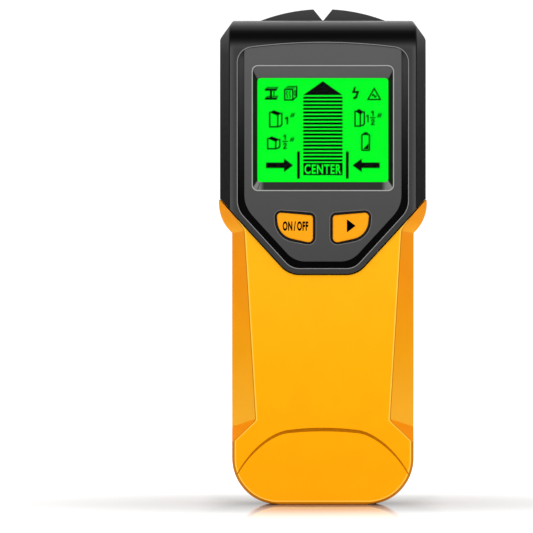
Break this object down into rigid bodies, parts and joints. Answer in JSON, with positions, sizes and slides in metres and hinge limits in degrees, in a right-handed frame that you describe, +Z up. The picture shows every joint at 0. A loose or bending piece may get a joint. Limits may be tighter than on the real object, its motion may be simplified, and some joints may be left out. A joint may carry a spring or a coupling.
{
  "type": "stud finder",
  "caption": "Handheld wall scanner: black head with a green LCD in a grey panel, two keys, marking notch, and a yellow handle with a hinged battery door behind.",
  "frame": {"origin": "middle of the bounding box's bottom face, on the flat foot that it stands on", "axes": "+X to the right seen from the display side, +Y from the display to the wall side, +Z up to the notch"},
  "size_m": [0.0672, 0.0274, 0.1602],
  "materials": {
    "yellow_shell": "moulded, satin, fine texture",
    "black_shell": "moulded, satin, fine texture",
    "grey_panel": "smooth satin",
    "clear_window": "clear acrylic",
    "lcd_green": "backlit green with black segments",
    "white_plastic": "smooth",
    "key_yellow": "smooth satin",
    "black_rubber": "matt",
    "circuit_board": "solder mask",
    "chip_black": "moulded epoxy",
    "copper": "bare copper",
    "nickel": "nickel plated",
    "screw_steel": "zinc plated",
    "wire_red": "smooth PVC",
    "wire_black": "smooth PVC",
    "battery_jacket": "plain printed steel jacket",
    "felt": "felt",
    "foam": "open foam"
  },
  "bodies": {
    "root": {"amplifier_chip": "chip_black", "battery_case": "battery_jacket", "battery_snap": "black_rubber", "battery_terminal_negative": "nickel", "battery_terminal_positive": "nickel", "battery_wire_black": "wire_black", "battery_wire_red": "wire_red", "board_link": "chip_black", "board_screw_lower_left": "screw_steel", "board_screw_lower_right": "screw_steel", "board_screw_upper_left": "screw_steel", "board_screw_upper_right": "screw_steel", "buzzer": "chip_black", "controller_chip": "chip_black", "display_window": "clear_window", "electrode_centre": "copper", "electrode_left": "copper", "electrode_right": "copper", "face_panel": "grey_panel", "felt_pad_left": "felt", "felt_pad_right": "felt", "handle_front_shell": "yellow_shell", "handle_rear_shell": "yellow_shell", "handle_screw_left": "screw_steel", "handle_screw_right": "screw_steel", "head_front_cover": "black_shell", "head_rear_cover": "black_shell", "head_screw_left": "screw_steel", "head_screw_right": "screw_steel", "lcd_backlight": "white_plastic", "lcd_contact_strip": "black_rubber", "lcd_glass": "lcd_green", "lcd_holder": "white_plastic", "main_board": "circuit_board", "mode_switch_body": "chip_black", "power_switch_body": "chip_black", "search_coil": "copper", "sensor_board": "circuit_board", "snap_contact_negative": "nickel", "snap_contact_positive": "nickel", "supply_capacitor": "nickel"},
    "power_key": {"power_keycap": "key_yellow", "power_key_pad": "black_rubber"},
    "mode_key": {"mode_keycap": "key_yellow", "mode_key_pad": "black_rubber"},
    "power_plunger": {"power_switch_plunger": "white_plastic"},
    "mode_plunger": {"mode_switch_plunger": "white_plastic"},
    "door": {"battery_door": "yellow_shell", "door_foam": "foam"}
  },
  "joints": [
    {"name": "power_key_press", "type": "slide", "parent": "root", "child": "power_key", "axis": [0, 1, 0], "range_m": [0, 0.0005]},
    {"name": "mode_key_press", "type": "slide", "parent": "root", "child": "mode_key", "axis": [0, 1, 0], "range_m": [0, 0.0005]},
    {"name": "power_switch_press", "type": "slide", "parent": "root", "child": "power_plunger", "axis": [0, 1, 0], "range_m": [0, 0.00025]},
    {"name": "mode_switch_press", "type": "slide", "parent": "root", "child": "mode_plunger", "axis": [0, 1, 0], "range_m": [0, 0.00025]},
    {"name": "battery_door_swing", "type": "hinge", "parent": "root", "child": "door", "pos_m": [0, 0.01325, 0.0647], "axis": [1, 0, 0], "range_deg": [0, 100]}
  ],
  "couplings": [
    {"joint": "power_switch_press", "follows": "power_key_press", "ratio": 0.5},
    {"joint": "mode_switch_press", "follows": "mode_key_press", "ratio": 0.5}
  ]
}
